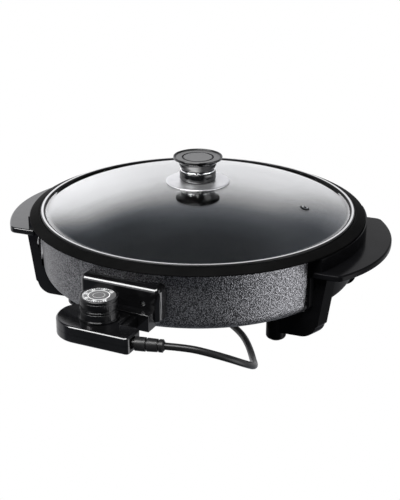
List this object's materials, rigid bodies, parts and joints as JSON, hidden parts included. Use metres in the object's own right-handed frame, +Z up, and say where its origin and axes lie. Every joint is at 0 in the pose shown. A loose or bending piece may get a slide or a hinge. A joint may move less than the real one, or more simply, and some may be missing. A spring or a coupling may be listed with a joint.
{
  "type": "electric skillet",
  "caption": "Round electric skillet on feet with side handles, a loose domed glass lid with a knob, and a plug-in thermostat controller with a dial and a mains cord.",
  "frame": {"origin": "floor point under the middle of the object's box, with the cord and plug left out", "axes": "+Z up, the two handles along X, the controller towards -Y"},
  "size_m": [0.4854, 0.4887, 0.1876],
  "materials": {
    "hammertone": "cast aluminium with grey hammertone paint",
    "bakelite": "glossy black phenolic",
    "knob_black": "glossy black phenolic",
    "chrome": "polished chrome",
    "steel": "bright steel",
    "lid_glass": "clear tempered glass, tinted by what is behind it",
    "rubber": "satin black",
    "cord_black": "satin black cord jacket",
    "brass": "bright brass",
    "dial_grey": "satin grey with white print",
    "ceramic": "unglazed steatite",
    "element_steel": "heat-darkened steel sheath",
    "base_steel": "plain steel sheet"
  },
  "bodies": {
    "base": {"pan_body": "hammertone", "base_plate": "base_steel", "base_plate_screw": "steel", "heating_element": "element_steel", "element_clip_1": "steel", "element_clip_2": "steel", "element_clip_3": "steel", "clip_screw_1": "steel", "clip_screw_2": "steel", "clip_screw_3": "steel", "terminal_pin_left": "steel", "terminal_pin_right": "steel", "handle_left": "bakelite", "handle_right": "bakelite", "handle_screw_back_left": "steel", "handle_screw_back_right": "steel", "handle_screw_front_left": "steel", "handle_screw_front_right": "steel", "foot_pad_back_left": "rubber", "foot_pad_back_right": "rubber", "foot_pad_front_left": "rubber", "foot_pad_front_right": "rubber", "socket_block": "bakelite", "socket_screw_left": "steel", "socket_screw_right": "steel"},
    "lid": {"glass_lid": "lid_glass", "lid_rim": "steel", "lid_gasket": "rubber", "vent_grommet": "steel", "lid_bezel": "chrome", "knob_collar": "knob_black", "knob_band": "chrome", "knob_body": "knob_black", "knob_cap": "knob_black", "knob_screw": "steel", "knob_washer": "rubber"},
    "controller": {"controller_upper": "bakelite", "controller_lower": "bakelite", "housing_screw_1": "steel", "housing_screw_2": "steel", "housing_screw_3": "steel", "contact_sleeve_left": "brass", "contact_sleeve_right": "brass", "probe_tube": "steel", "thermostat_switch": "ceramic", "strain_relief": "rubber", "power_cord": "cord_black", "cord_coil": "cord_black", "cord_tail": "cord_black", "plug_body": "rubber", "plug_blade_left": "brass", "plug_blade_right": "brass", "plug_earth_pin": "brass"},
    "dial_knob": {"dial": "knob_black", "dial_plate": "dial_grey", "dial_shaft": "brass"}
  },
  "joints": [
    {"name": "lid_lift", "type": "slide", "parent": "base", "child": "lid", "axis": [0, 0, 1], "range_m": [0, 0.12]},
    {"name": "controller_pull", "type": "slide", "parent": "base", "child": "controller", "axis": [-0.0698, -0.9976, 0], "range_m": [0, 0.1]},
    {"name": "dial_turn", "type": "hinge", "parent": "controller", "child": "dial_knob", "pos_m": [-0.02019, -0.20643, 0.0867], "axis": [0, 0, 1], "range_deg": [0, 270]}
  ]
}
